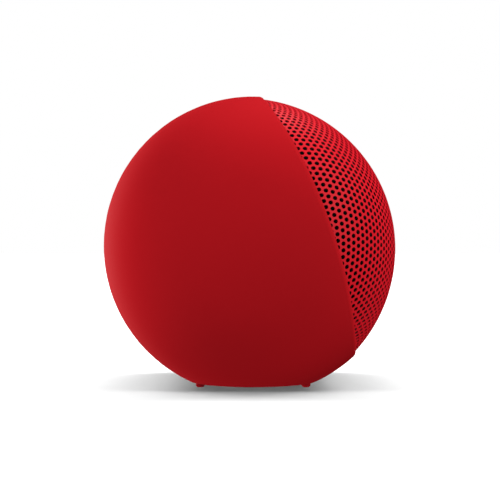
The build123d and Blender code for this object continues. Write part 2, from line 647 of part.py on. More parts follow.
def radiator_parts(side, name):
    x = radiator_x(side)
    inner_l, inner_h = RADIATOR_L - 2 * RADIATOR_RING, RADIATOR_H - 2 * RADIATOR_RING
    frame = track(RADIATOR_L, RADIATOR_H, BAFFLE_FRONT, FLANGE_FRONT, x)
    frame += track(inner_l, inner_h, FLANGE_FRONT - RADIATOR_DEPTH, FLANGE_FRONT, x)
    frame -= track(inner_l - 2 * TUB_WALL, inner_h - 2 * TUB_WALL,
                   FLANGE_FRONT - RADIATOR_DEPTH - OVER, FLANGE_FRONT + OVER, x)
    middle_l = inner_l - 2 * RADIATOR_ROLL_R - ROLL_T
    middle_h = inner_h - 2 * RADIATOR_ROLL_R - ROLL_T
    rubber = Rot(0, 0, 90) * roll(middle_h, middle_l, RADIATOR_ROLL_R, FLANGE_FRONT, 0)
    plate_l = middle_l - 2 * RADIATOR_ROLL_R + ROLL_T
    plate_h = middle_h - 2 * RADIATOR_ROLL_R + ROLL_T
    plate = track(plate_l, plate_h, FLANGE_FRONT - RADIATOR_PLATE_T, FLANGE_FRONT, x)
    plate += disc(plate_l / 4, FLANGE_FRONT - 2 * RADIATOR_PLATE_T, FLANGE_FRONT, x)
    return {
        f"radiator_frame_{name}": frame, f"radiator_surround_{name}": Pos(x, 0, 0) * rubber,
        f"radiator_plate_{name}": plate,
    }


# ---- battery, boards, port ------------------------------------------------------------------------
def cell_bodies(grow=0.0):
    low = CELL_END_X - CELL_L - grow
    cells = []
    for side in (-1, 1):
        tube = Pos(low, side * CELL_SPREAD / 2, CELL_G) * Rot(0, 90, 0) * Cylinder(
            CELL_R + grow, CELL_L + 2 * grow, align=UPRIGHT)
        cells.append(tube)
    return cells


def battery_parts():
    x0, x1 = CELL_END_X - CELL_L, CELL_END_X
    cradle = front(block(x0 - CRADLE_T, x1 + CRADLE_T, -CRADLE_W / 2, CRADLE_W / 2, -BIG / 4, CELL_G))
    cradle &= body(HOUSING_IN)
    cradle -= [front(cell) for cell in cell_bodies(CELL_GAP)]
    cradle -= front(block(x1, BIG, -BIG / 2, BIG / 2, CELL_G - CRADLE_NOTCH, BIG / 2))
    top = CELL_G + CELL_R + CELL_GAP
    middle = (x0 + x1) / 2
    half = CRADLE_W / 2
    clamp = block(middle - CLAMP_W / 2, middle + CLAMP_W / 2, -half, half, CELL_G, top + CLAMP_T)
    clamp -= block(x0, x1, CLAMP_T - half, half - CLAMP_T, CELL_G - OVER, top)
    clamp = fillet(clamp.edges().filter_by(Axis.X).group_by(Axis.Z)[-1], CLAMP_T / 2)
    caps = [Pos(x1, side * CELL_SPREAD / 2, CELL_G) * Rot(0, 90, 0) * Cylinder(
        CELL_CAP_R, CELL_CAP_L, align=UPRIGHT) for side in (-1, 1)]
    tab_x, tab_y = x1 + CELL_CAP_L, CELL_SPREAD / 2 + TAB_W / 2
    tab = block(tab_x, tab_x + TAB_T, -tab_y, tab_y, CELL_G - TAB_W / 2, CELL_G + TAB_W / 2)
    cells = [front(fillet(cell.edges(), CELL_ROUND) + cap) for cell, cap in zip(cell_bodies(), caps)]
    return {"battery_cells": cells, "battery_cradle": cradle, "battery_clamp": front(clamp),
            "battery_tab": front(tab)}


def board_parts():
    board = block(BOARD_X0, BOARD_X1, -BOARD_W / 2, BOARD_W / 2, BOARD_G - BOARD_T, BOARD_G)
    board = fillet(board.edges().filter_by(Axis.Z), BOARD_CORNER_R)
    for x, y in board_holes():
        board -= disc(SCREW_HOLE_R, BOARD_G - BOARD_T - OVER, BOARD_G + OVER, x, y)
    plugs = [(SPEAKER_PLUG_X, 0.0, PLUG_W, PLUG_L, PLUG_H),
             (BATTERY_PLUG_X, BATTERY_PLUG_Y, PLUG_W, PLUG_L, PLUG_H),
             (KEY_BOARD_X1 + 2 * WIRE_BEND, KEY_PLUG_Y, PLUG_L, PLUG_W, PLUG_H)]
    bodies = [Pos(x, y, BOARD_G) * Box(w, d, h, align=UPRIGHT) for x, y, w, d, h in CHIPS + plugs]
    bodies += [disc(CAPACITOR_R, BOARD_G, BOARD_G + CAPACITOR_H, x, CAPACITOR_Y)
               for x in CAPACITOR_XS]
    fixings = [screw(x, y, BOARD_G, BOARD_SCREW_L) for x, y in board_holes()]
    return {"main_board": front(board), "board_components": [front(part) for part in bodies],
            "board_screws": fixings}


def port_parts():
    mouth = SHELL_R - PORT_SINK
    back = mouth - PORT_DEPTH
    shell = track(PORT_L, PORT_H, back, mouth)
    floor = back + PORT_FLOOR_T
    shell -= track(PORT_L - 2 * PORT_WALL, PORT_H - 2 * PORT_WALL, floor, mouth + OVER)
    tongue = block(-TONGUE_L / 2, TONGUE_L / 2, -TONGUE_T / 2, TONGUE_T / 2,
                   floor, mouth - TONGUE_SINK)
    bezel = rearward(PORT_X, PORT_Z, track(PORT_BEZEL_L, PORT_BEZEL_H, CAVITY_R - OVER, BIG / 2))
    bezel = (bezel & body(TRIM_SINK)) - body(HOUSING_IN)
    bezel -= rearward(PORT_X, PORT_Z, track(PORT_L, PORT_H, back, BIG / 2))
    board_y = PORT_H / 2
    board = block(-PORT_BOARD_L / 2, PORT_BOARD_L / 2, board_y, board_y + BOARD_T,
                  back - PORT_BOARD_TAIL, CAVITY_R - PORT_BOARD_IN)
    return {"usb_receptacle": rearward(PORT_X, PORT_Z, shell),
            "usb_tongue": rearward(PORT_X, PORT_Z, tongue), "usb_bezel": bezel,
            "usb_board": rearward(PORT_X, PORT_Z, board)}


# ---- keys -------------------------------------------------------------------------------------------
def key_radius(name):
    return PLAY_KEY_R if name == "play_key" else KEY_R


def key_mark(name):
    """The symbol's outline as a tall block, to be sunk into the key."""
    w, l = KEY_MARK_W, KEY_MARK_L
    low, high = CAVITY_R, BIG / 4
    minus = block(-l / 2, l / 2, -w / 2, w / 2, low, high)
    if name == "volume_down_key":
        return minus
    if name == "volume_up_key":
        return minus + Rot(0, 0, 90) * minus
    if name == "power_key":
        loop = ring(l / 2, l / 2 - w, low, high) - block(-w, w, 0, l, low, high)
        return loop + block(-w / 2, w / 2, POWER_BAR_FOOT, l / 2 + POWER_BAR_PROUD, low, high)
    arrow = Triangle(a=l, b=l, c=l, rotation=-90)
    bar = block(PLAY_BAR_X, PLAY_BAR_X + w, -l / 2, l / 2, low, high)
    bars = [bar, Pos(PLAY_BAR_PITCH, 0, 0) * bar]
    return Pos(-PLAY_MARK_SHIFT, 0, 0) * (Pos(0, 0, low) * extrude(arrow, high - low) + bars[0] + bars[1])


def key(name):
    """A round cap through the skin and housing, with a retaining flange and a stem behind."""
    x, radius = KEY_XS[name], key_radius(name)
    flange_r = radius + KEY_FLANGE
    flange_top = sqrt(CAVITY_R ** 2 - flange_r ** 2) - KEY_FLANGE_GAP
    cap = keyward(x, disc(radius, flange_top - KEY_FLANGE_T, BIG / 4)) & body(-KEY_PROUD)
    outwards = Axis((0, 0, 0), (0, sin(radians(KEY_LEAN)), cos(radians(KEY_LEAN))))
    cap = fillet(cap.edges().sort_by(outwards)[-1:], KEY_ROUND)
    cap -= keyward(x, key_mark(name)) - body(KEY_MARK_DEPTH - KEY_PROUD)
    flange = disc(flange_r, flange_top - KEY_FLANGE_T, flange_top)
    stem = disc(STEM_R, switch_top() + KEY_TRAVEL + KEY_SWITCH_GAP, flange_top)
    return cap + keyward(x, flange + stem)


def switch_top():
    return KEY_BOARD_Z + KEY_BOARD_T + SWITCH_H + SWITCH_NUB_H


def key_strip_parts():
    z0, z1 = KEY_BOARD_Z, KEY_BOARD_Z + KEY_BOARD_T
    half = KEY_BOARD_W / 2
    board = block(KEY_BOARD_X0, KEY_BOARD_X1, -half, half, z0, z1)
    switches = []
    for x in KEY_XS.values():
        base = Pos(x, 0, z1) * Box(SWITCH_W, SWITCH_W, SWITCH_H, align=UPRIGHT)
        switches.append(keyward(0, base + disc(SWITCH_NUB_R, z1, z1 + SWITCH_H + SWITCH_NUB_H, x)))
    tray_x0, tray_x1 = KEY_BOARD_X0 - BRACKET_TAIL, KEY_BOARD_X1 - BRACKET_SHORT
    tray = block(tray_x0, tray_x1, -BRACKET_W / 2, BRACKET_W / 2, z0 - BRACKET_T, z0)
    for side in (-1, 1):
        inner, outer = side * (BRACKET_W / 2 - BRACKET_T), side * BRACKET_W / 2
        tray += block(tray_x0, tray_x1, min(inner, outer), max(inner, outer), z0 - BRACKET_T, BIG / 4)
    pipe = keyward(LIGHT_X, disc(LIGHT_R, z1 + LED_H, BIG / 4)) & body(LIGHT_SINK)
    led = keyward(LIGHT_X, Pos(0, 0, z1) * Box(LED_L, LED_W, LED_H, align=UPRIGHT))
    boot = keyward(MIC_X, ring(MIC_BOOT_R, MIC_HOLE_R, z1 + MIC_H, BIG / 4)) & body(HOUSING_IN)
    mic = keyward(MIC_X, Pos(0, 0, z1) * Box(MIC_L, MIC_W, MIC_H, align=UPRIGHT)) + boot
    return {"key_board": keyward(0, board), "key_switches": switches,
            "key_bracket": keyward(0, tray) & body(HOUSING_IN), "status_light_pipe": pipe,
            "status_led": led, "microphone": mic}


# ---- lanyard anchor ---------------------------------------------------------------------------------
def anchor_parts():
    x = LENGTH / 2 - ANCHOR_INSET
    bottom = SHELL_R - POCKET_D
    cup = cup_block(0, bottom - POCKET_WALL) & body(TRIM_SINK)
    cup += (cup_block(CUP_FLANGE, bottom) & body(HOUSING_IN)) - body(HOUSING_IN + CUP_FLANGE_T)
    pocket = extrude(RectangleRounded(POCKET_W, POCKET_H, POCKET_CORNER), BIG / 2)
    cup -= rearward(x, 0, Pos(0, 0, bottom) * pocket)
    bar_l = POCKET_H + 2 * ANCHOR_BAR_HOLD
    bar = Pos(0, 0, SHELL_R - ANCHOR_BAR_SINK) * Rot(90, 0, 0) * Cylinder(ANCHOR_BAR_R, bar_l)
    bar = rearward(x, 0, bar)
    return {"lanyard_cup": cup - bar, "lanyard_bar": bar}


# ---- wires ------------------------------------------------------------------------------------------
def wire(*points):
    """A round wire through points in the front frame, with WIRE_BEND arcs at its corners."""
    path = FilletPolyline(*points, radius=WIRE_BEND)
    section = Plane(origin=path @ 0, z_dir=path % 0) * Circle(WIRE_R)
    return front(sweep(section, path=path))


def wires():
    lead_g = TUB_FLOOR_G + TERMINAL_T + WIRE_BEND
    speaker = [wire((SPEAKER_PLUG_X, y, BOARD_G + PLUG_H), (SPEAKER_PLUG_X, y, lead_g),
                    (TERMINAL_X, y, lead_g)) for y in (-WIRE_R - WIRE_GAP, WIRE_R + WIRE_GAP)]
    tab_x = CELL_END_X + CELL_CAP_L + TAB_T
    riser_x = BOARD_X0 - WIRE_BEND - WIRE_R
    plug_g = BOARD_G + PLUG_H / 2
    battery = [wire((tab_x, y, CELL_G), (riser_x, y, CELL_G), (riser_x, y, plug_g),
                    (BATTERY_PLUG_X - PLUG_W / 2, y, plug_g))
               for y in (BATTERY_PLUG_Y - WIRE_R - WIRE_GAP, BATTERY_PLUG_Y + WIRE_R + WIRE_GAP)]
    lean = radians(TILT - KEY_LEAN)
    strip = KEY_BOARD_Z + KEY_BOARD_T / 2
    up, out = strip * cos(lean), strip * sin(lean)
    x = KEY_BOARD_X1 + 2 * WIRE_BEND
    keys = wire((KEY_BOARD_X1, up, out), (x, up, out), (x, KEY_PLUG_Y, BOARD_G + 3 * PLUG_H),
                (x, KEY_PLUG_Y, BOARD_G + PLUG_H))
    return {"speaker_leads": speaker, "battery_leads": battery, "key_cable": keys}


# ---- the whole speaker ------------------------------------------------------------------------------
def all_nodes():
    nodes = {
        "outer_skin": outer_skin(),
        "rear_housing": rear_housing(),
        "baffle_gasket": baffle_gasket(),
        "front_baffle": front_baffle(),
        "front_grille": front_grille(),
        "acoustic_cloth": acoustic_cloth(),
        "baffle_screws": baffle_screws(),
        "foot_rail_front": foot(-1),
        "foot_rail_rear": foot(1),
    }
    for name, part in woofer_parts().items():
        nodes[name] = front(part)
    for name, part in tweeter_parts().items():
        nodes[name] = front(part)
    for side, name in ((-1, "left"), (1, "right")):
        for node, part in radiator_parts(side, name).items():
            nodes[node] = front(part)
    nodes["driver_screws"] = [screw(x, y, FLANGE_FRONT, DRIVER_SCREW_L)
                              for x, y in woofer_screw_places() + tweeter_screw_places()]
    nodes.update(battery_parts())
    nodes.update(board_parts())
    nodes.update(port_parts())
    for name in KEY_XS:
        nodes[name] = key(name)
    nodes.update(key_strip_parts())
    nodes.update(anchor_parts())
    nodes.update(wires())
    return nodes


def main():
    os.makedirs("parts", exist_ok=True)
    for name, shape in all_nodes().items():
        solids = [s for piece in (shape if isinstance(shape, list) else [shape]) for s in piece.solids()]
        placed = [Pos(0, AXIS_Y, AXIS_Z) * solid for solid in solids]
        export_step(Compound(children=placed) if len(placed) > 1 else placed[0], f"parts/{name}.step")


main()
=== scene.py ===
import json
from math import cos, pi, radians, sin, sqrt

import bpy
import numpy as np
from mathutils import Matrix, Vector


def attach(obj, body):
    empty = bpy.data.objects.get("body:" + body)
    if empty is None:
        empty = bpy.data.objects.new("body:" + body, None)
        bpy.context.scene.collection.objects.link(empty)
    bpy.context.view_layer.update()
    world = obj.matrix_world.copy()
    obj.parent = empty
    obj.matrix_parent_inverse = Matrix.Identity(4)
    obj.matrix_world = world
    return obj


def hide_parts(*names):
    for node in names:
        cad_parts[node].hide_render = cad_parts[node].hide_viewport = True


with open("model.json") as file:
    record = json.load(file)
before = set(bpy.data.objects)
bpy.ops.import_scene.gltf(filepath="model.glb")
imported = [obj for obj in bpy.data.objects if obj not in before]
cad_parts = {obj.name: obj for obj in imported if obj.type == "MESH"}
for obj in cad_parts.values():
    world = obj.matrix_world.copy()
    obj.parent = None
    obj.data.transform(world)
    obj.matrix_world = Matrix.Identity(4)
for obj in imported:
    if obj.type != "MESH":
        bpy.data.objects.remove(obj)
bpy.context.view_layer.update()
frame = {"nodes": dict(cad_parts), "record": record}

MM = 0.001

# ---- the speaker's form, as the frame has it (millimetres) ------------------------------------------
LENGTH = 219.0
SHELL_R = 36.3
GRILLE_R = 36.6
SHEET_T = 0.24               # the punched sheet's two faces, thinner than the CAD grille's 0.8
GRILLE_SETBACK = 2.2
END_CROWN_R = 60.0
END_CORNER_R = 28.0
TILT = 20.0                  # degrees the grille leans back
SEAM_G = 14.65               # height of the straight seam above the axis, out of the grille
SEAM_SWEEP_R = 70.0          # the seam sweeps forward round the ends on this radius
AXIS_Y, AXIS_Z = -0.883, 34.5
TUBE_HALF = LENGTH / 2 - END_CROWN_R + (END_CROWN_R - END_CORNER_R) * sqrt(
    1 - ((SHELL_R - END_CORNER_R) / (END_CROWN_R - END_CORNER_R)) ** 2)

# ---- perforation: a hexagonal punching that stretches where the sheet is drawn over the ends --------
COLUMNS = 76                 # columns from the middle of the speaker to the pattern's zero
COLUMN_PITCH = 109.23 / COLUMNS
ROW_PITCH = COLUMN_PITCH * 2 / sqrt(3)
ROW_SHIFT = -4.155           # a row's offset from the grille's own middle line
HOLE_R = 0.57
EDGE_OVERLAP = 1.0           # the pattern runs on this far behind the seam
WINDING_SAMPLE = 400         # faces that tell which way a piece's faces look
BAND_SPLIT = 48              # columns from the middle to a joint between two pieces of the sheet
CELL_SIDES = 12
LOW_ROW, HIGH_ROW = -28, 29
DRAWN_FROM = 74.0            # the sheet is only bent up to here, and drawn beyond
WARP_UNIT = 30.0             # length that the two stretches below are stated in
# how far the drawn sheet stretches along and round the speaker: (power of along, power of round)
DRAW_ALONG = {(2, 0): -0.148, (2, 1): -0.427, (2, 2): -0.2075,
              (3, 0): 0.114, (3, 1): 0.245, (3, 2): 0.057}
DRAW_ROUND = {(2, 0): 0.137, (2, 1): 0.062, (2, 2): -0.026, (2, 3): -0.055,
              (3, 0): 0.018, (3, 1): 0.212, (3, 2): -0.110, (3, 3): -0.011}


def grille_point(along, row):
    """Sheet coordinates to a point on the grille's outer face and its normal, in the row frame, mm."""
    along, row = np.asarray(along, float), np.asarray(row, float)
    side = np.sign(along)
    a = (np.abs(along) - DRAWN_FROM) / WARP_UNIT
    b = (row + ROW_SHIFT) / WARP_UNIT
    drawn = np.maximum(a, 0.0)
    arc = a + sum(c * drawn ** m * b ** n for (m, n), c in DRAW_ALONG.items())
    turn = b + sum(c * drawn ** m * b ** n for (m, n), c in DRAW_ROUND.items())
    arc, turn = arc * WARP_UNIT, turn * WARP_UNIT / GRILLE_R
    lean = np.arcsin((GRILLE_R - END_CORNER_R) / (END_CROWN_R - END_CORNER_R))
    crown_x = LENGTH / 2 - END_CROWN_R
    corner_x = crown_x + (END_CROWN_R - END_CORNER_R) * cos(lean)
    corner_y = GRILLE_R - END_CORNER_R
    tube = corner_x - DRAWN_FROM
    shoulder = tube + END_CORNER_R * (pi / 2 - lean)
    round_corner = pi / 2 - (arc - tube) / END_CORNER_R
    round_crown = lean - (arc - shoulder) / END_CROWN_R
    on_tube, on_crown = arc < tube, arc > shoulder
    slope = np.where(on_tube, pi / 2, np.where(on_crown, round_crown, round_corner))
    x = np.where(on_tube, DRAWN_FROM + arc,
                 np.where(on_crown, crown_x + END_CROWN_R * np.cos(round_crown),
                          corner_x + END_CORNER_R * np.cos(round_corner)))
    r = np.where(on_tube, GRILLE_R,
                 np.where(on_crown, END_CROWN_R * np.sin(round_crown),
                          corner_y + END_CORNER_R * np.sin(round_corner)))
    g, s = r * np.cos(turn), r * np.sin(turn)
    ng, ns = np.sin(slope) * np.cos(turn), np.sin(slope) * np.sin(turn)
    point = np.stack([side * x, *from_front(g - GRILLE_SETBACK, s, AXIS_Y, AXIS_Z)], -1)
    normal = np.stack([side * np.cos(slope), *from_front(ng, ns, 0.0, 0.0)], -1)
    return point, normal, g - GRILLE_SETBACK, side * x


def from_front(g, s, y0, z0):
    """Out-of-the-grille and up-the-grille distances to world Y and Z."""
    t = radians(TILT)
    return y0 - g * cos(t) + s * sin(t), z0 + g * sin(t) + s * cos(t)


def seam_height(x):
    past = np.maximum(0.0, np.abs(x) - TUBE_HALF)
    return SEAM_G + SEAM_SWEEP_R - np.sqrt(SEAM_SWEEP_R ** 2 - np.minimum(past, SEAM_SWEEP_R / 2) ** 2)


def sheet_cells():
    """Places of the holes that lie on the grille, in sixths of a column and quarters of a row."""
    cells = []
    for n in range(-COLUMNS - 1, COLUMNS + 2):
        odd = (COLUMNS - n) % 2
        for k in range(LOW_ROW, HIGH_ROW + 1):
            cells.append((6 * n, 4 * k + 2 * odd))
    cells = np.array(cells)
    _, _, g, x = grille_point(cells[:, 0] * COLUMN_PITCH / 6, cells[:, 1] * ROW_PITCH / 4)
    return cells[g > seam_height(x) - EDGE_OVERLAP]


# twelve points round a cell, shared with its six neighbours
CELL_RIM = [(4, 0), (3, 1), (2, 2), (0, 2), (-2, 2), (-3, 1),
            (-4, 0), (-3, -1), (-2, -2), (0, -2), (2, -2), (3, -1)]


def mesh_band(part):
    """Vertices and faces of some cells: each has an outer face, an inner face and its hole's wall."""
    unit_x, unit_y = COLUMN_PITCH / 6, ROW_PITCH / 4
    index, along, row, layer = {}, [], [], []

    def vertex(key, u, v, side):
        if key not in index:
            index[key] = len(along)
            along.append(u)
            row.append(v)
            layer.append(side)
        return index[key]

    faces, walls, rims = [], [], {}
    for cx, cy in part:
        holes = []
        for side in (0, 1):
            rim = [vertex((side, cx + dx, cy + dy), (cx + dx) * unit_x, (cy + dy) * unit_y, side)
                   for dx, dy in CELL_RIM]
            hole = [vertex((side, cx, cy, k), cx * unit_x + HOLE_R * cos(k * pi / 6),
                           cy * unit_y + HOLE_R * sin(k * pi / 6), side) for k in range(CELL_SIDES)]
            rims[(cx, cy, side)] = rim
            holes.append(hole)
            for k in range(CELL_SIDES):
                m = (k + 1) % CELL_SIDES
                quad = (hole[k], rim[k], rim[m], hole[m])
                faces.append(quad if side == 0 else quad[::-1])
        h0, h1 = holes
        for k in range(CELL_SIDES):
            m = (k + 1) % CELL_SIDES
            walls.append((h0[m], h1[m], h1[k], h0[k]))
    # close the cut edges, where a cell has no neighbour
    edges = {(f[k], f[(k + 1) % 4]) for f in faces for k in range(4)}
    ends = []
    for cx, cy in part:
        o0, o1 = rims[(cx, cy, 0)], rims[(cx, cy, 1)]
        for k in range(CELL_SIDES):
            m = (k + 1) % CELL_SIDES
            if (o0[m], o0[k]) not in edges:
                ends.append((o0[m], o0[k], o1[k], o1[m]))
    return np.array(along), np.array(row), np.array(layer), faces, walls, ends


def pair(a, b):
    return tuple(sorted((a, b)))


def build_grille():
    """The punched sheet, split along the speaker so that no piece is too heavy."""
    cells = sheet_cells()
    past_end = COLUMNS + 2
    bands = [(-past_end, -BAND_SPLIT, "a"), (-BAND_SPLIT, 0, "b"),
             (0, BAND_SPLIT, "c"), (BAND_SPLIT, past_end, "d")]
    made = []
    for low, high, tag in bands:
        part = [c for c in cells if low <= c[0] / 6 < high]
        along, row, layer, faces, walls, ends = mesh_band(part)
        point, normal, _, _ = grille_point(along, row)
        point = point - normal * (SHEET_T * layer)[:, None]
        mesh = bpy.data.meshes.new("grille_" + tag)
        mesh.from_pydata((point * MM).tolist(), [], faces + walls + ends)
        mesh.update()
        # the mirrored end turns its faces inside out
        sample = mesh.polygons[:WINDING_SAMPLE]
        area = sum(p.area * p.normal.dot(Vector(normal[p.vertices[0]])) for p in sample)
        if area < 0:
            mesh.flip_normals()
        mesh.polygons.foreach_set("use_smooth", [True] * len(mesh.polygons))
        crisp = {pair(w[0], w[3]) for w in walls} | {pair(w[1], w[2]) for w in walls}
        crisp |= {pair(w[0], w[1]) for w in ends} | {pair(w[2], w[3]) for w in ends}
        sharp = mesh.attributes.new("sharp_edge", "BOOLEAN", "EDGE")
        sharp.data.foreach_set("value", [tuple(sorted(e.vertices)) in crisp for e in mesh.edges])
        piece = bpy.data.objects.new("perforated_grille_" + tag, mesh)
        bpy.context.scene.collection.objects.link(piece)
        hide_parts("front_grille")
        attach(piece, "speaker_body")
        piece.data.materials.append(MATERIAL["grille_paint"])
        piece.data.materials.append(MATERIAL["grille_back"])
        inner = [all(layer[v] == 1 for v in p.vertices) for p in mesh.polygons]
        mesh.polygons.foreach_set("material_index", [int(b) for b in inner])
        made.append(piece)
    print("grille holes", len(cells))
    return made


# ---- materials --------------------------------------------------------------------------------------
def new_material(name):
    m = bpy.data.materials.new(name)
    m.use_nodes = True
    nodes, links = m.node_tree.nodes, m.node_tree.links
    shader = nodes["Principled BSDF"]
    where = nodes.new("ShaderNodeTexCoord")
    return m, nodes, links, shader, where


def noise(nodes, links, where, scale, detail=2.0, rough=0.5, stretch=None):
    n = nodes.new("ShaderNodeTexNoise")
    n.inputs["Scale"].default_value = scale
    n.inputs["Detail"].default_value = detail
    n.inputs["Roughness"].default_value = rough
    source = where.outputs["Object"]
    if stretch:
        mapping = nodes.new("ShaderNodeMapping")
        mapping.inputs["Scale"].default_value = stretch
        links.new(source, mapping.inputs["Vector"])
        source = mapping.outputs["Vector"]
    links.new(source, n.inputs["Vector"])
    return n.outputs["Fac"]


def spread(nodes, links, value, low, high):
    r = nodes.new("ShaderNodeMapRange")
    r.inputs["From Min"].default_value = 0.3
    r.inputs["From Max"].default_value = 0.7
    r.inputs["To Min"].default_value = low
    r.inputs["To Max"].default_value = high
    links.new(value, r.inputs["Value"])
    return r.outputs["Result"]


def two_tone(nodes, links, value, dark, light):
    mix = nodes.new("ShaderNodeMix")
    mix.data_type = "RGBA"
    links.new(value, mix.inputs["Factor"])
    mix.inputs[6].default_value = (*dark, 1)
    mix.inputs[7].default_value = (*light, 1)
    return mix.outputs[2]


def bump(nodes, links, shader, height, distance, strength=1.0):
    b = nodes.new("ShaderNodeBump")
    b.inputs["Strength"].default_value = strength
    b.inputs["Distance"].default_value = distance
    links.new(height, b.inputs["Height"])
    links.new(b.outputs["Normal"], shader.inputs["Normal"])


def finish(name, color, rough, metallic=0.0, specular=0.5, grain=900.0, depth=0.00002, vary=0.08,
           rough_vary=0.06, stretch=None, coat=0.0, coat_rough=0.1, sheen=0.0, blotch=35.0):
    """Mottled colour, uneven gloss and a fine relief, all from noise in the object's own space."""
    m, nodes, links, shader, where = new_material(name)
    broad = noise(nodes, links, where, blotch, 3.0)
    dark = tuple(c * (1 - vary) for c in color)
    light = tuple(min(1.0, c * (1 + vary)) for c in color)
    links.new(two_tone(nodes, links, broad, dark, light), shader.inputs["Base Color"])
    fine = noise(nodes, links, where, grain, 2.0, 0.6, stretch)
    gloss = spread(nodes, links, fine, rough - rough_vary, rough + rough_vary)
    links.new(gloss, shader.inputs["Roughness"])
    bump(nodes, links, shader, fine, depth)
    shader.inputs["Metallic"].default_value = metallic
    shader.inputs["Specular IOR Level"].default_value = specular
    shader.inputs["Coat Weight"].default_value = coat
    shader.inputs["Coat Roughness"].default_value = coat_rough
    shader.inputs["Sheen Weight"].default_value = sheen
    shader.inputs["Sheen Roughness"].default_value = 0.4
    return m


MATERIAL = {
    "soft_skin": finish("soft_skin", (0.55, 0.0095, 0.0150), 0.74, specular=0.012, grain=2600,
                        depth=0.000010, vary=0.02, rough_vary=0.05, blotch=60),
    "key_rubber": finish("key_rubber", (0.55, 0.0095, 0.0150), 0.70, specular=0.02, grain=2600,
                         depth=0.000010, vary=0.02),
    "foot_rubber": finish("foot_rubber", (0.50, 0.0085, 0.0135), 0.75, specular=0.02, grain=1800,
                          depth=0.00002, vary=0.04),
    "grille_paint": finish("grille_paint", (0.82, 0.0125, 0.0250), 0.46, specular=0.05, grain=1400,
                           depth=0.000004, vary=0.02, rough_vary=0.05),
    "grille_back": finish("grille_back", (0.010, 0.002, 0.002), 0.8, specular=0.1, grain=1400,
                          depth=0.000004, vary=0.15),
    "housing_plastic": finish("housing_plastic", (0.028, 0.028, 0.030), 0.5, grain=1500, depth=0.00003),
    "cloth": finish("cloth", (0.006, 0.006, 0.006), 0.95, specular=0.1, grain=4000, depth=0.00005,
                    vary=0.3, sheen=0.1),
    "foam": finish("foam", (0.03, 0.03, 0.032), 0.95, specular=0.2, grain=2500, depth=0.0001, vary=0.25),
    "screw_steel": finish("screw_steel", (0.16, 0.16, 0.17), 0.32, metallic=1.0, grain=900, vary=0.15),
    "basket_plastic": finish("basket_plastic", (0.022, 0.022, 0.024), 0.42, grain=1200, depth=0.00002),
    "roll_rubber": finish("roll_rubber", (0.014, 0.014, 0.015), 0.5, grain=700, depth=0.00001, vary=0.15),
    "cone_paper": finish("cone_paper", (0.045, 0.044, 0.042), 0.85, specular=0.2, grain=1600,
                         depth=0.00006, vary=0.3),
    "foil": finish("foil", (0.78, 0.79, 0.80), 0.28, metallic=1.0, grain=500, depth=0.00001, vary=0.03),
    "polyimide": finish("polyimide", (0.42, 0.19, 0.03), 0.3, grain=600, depth=0.00001, coat=0.5),
    "copper_wire": finish("copper_wire", (0.80, 0.36, 0.20), 0.3, metallic=1.0, grain=800,
                          depth=0.00008, stretch=(0.05, 1, 1), vary=0.12),
    "spider_cloth": finish("spider_cloth", (0.50, 0.36, 0.13), 0.8, grain=3000, depth=0.00008, vary=0.2),
    "plated_steel": finish("plated_steel", (0.55, 0.55, 0.57), 0.3, metallic=1.0, grain=300,
                           depth=0.00001, stretch=(1, 1, 8), vary=0.06),
    "magnet": finish("magnet", (0.66, 0.65, 0.62), 0.14, metallic=1.0, grain=300, depth=0.000005,
                     vary=0.04),
    "plate_metal": finish("plate_metal", (0.02, 0.02, 0.02), 0.38, grain=1500, depth=0.00002),
    "cell_wrap": finish("cell_wrap", (0.02, 0.12, 0.32), 0.25, grain=150, depth=0.00003, coat=0.4),
    "nickel": finish("nickel", (0.62, 0.60, 0.55), 0.3, metallic=1.0, grain=700, vary=0.06),
    "board": finish("board", (0.006, 0.075, 0.030), 0.28, grain=400, depth=0.00003, vary=0.25,
                    coat=0.5, blotch=250),
    "components": finish("components", (0.02, 0.02, 0.021), 0.45, grain=1500, depth=0.00002),
    "port_steel": finish("port_steel", (0.60, 0.60, 0.61), 0.24, metallic=1.0, grain=700,
                         stretch=(1, 6, 1), vary=0.05),
    "port_plastic": finish("port_plastic", (0.018, 0.018, 0.019), 0.45, grain=1800, depth=0.00002),
    "light_pipe": finish("light_pipe", (0.82, 0.83, 0.82), 0.35, grain=800, depth=0.00001, vary=0.04),
    "led": finish("led", (0.75, 0.75, 0.62), 0.3, grain=500, vary=0.1),
    "wire_black": finish("wire_black", (0.02, 0.02, 0.02), 0.45, grain=900, depth=0.00002),
}

for part in frame["record"]["subparts"]:
    node = frame["nodes"][part["node"]]
    node.data.materials.clear()
    node.data.materials.append(MATERIAL[part["material_slot"]])

GRILLE = build_grille()


ON_FORM = 0.01               # a vertex this near the moulded form takes its exact normal (mm)
SAME_WAY = 0.95              # and only where the face looks the same way (cosine)
TINY = 1e-9                  # keeps a division off zero


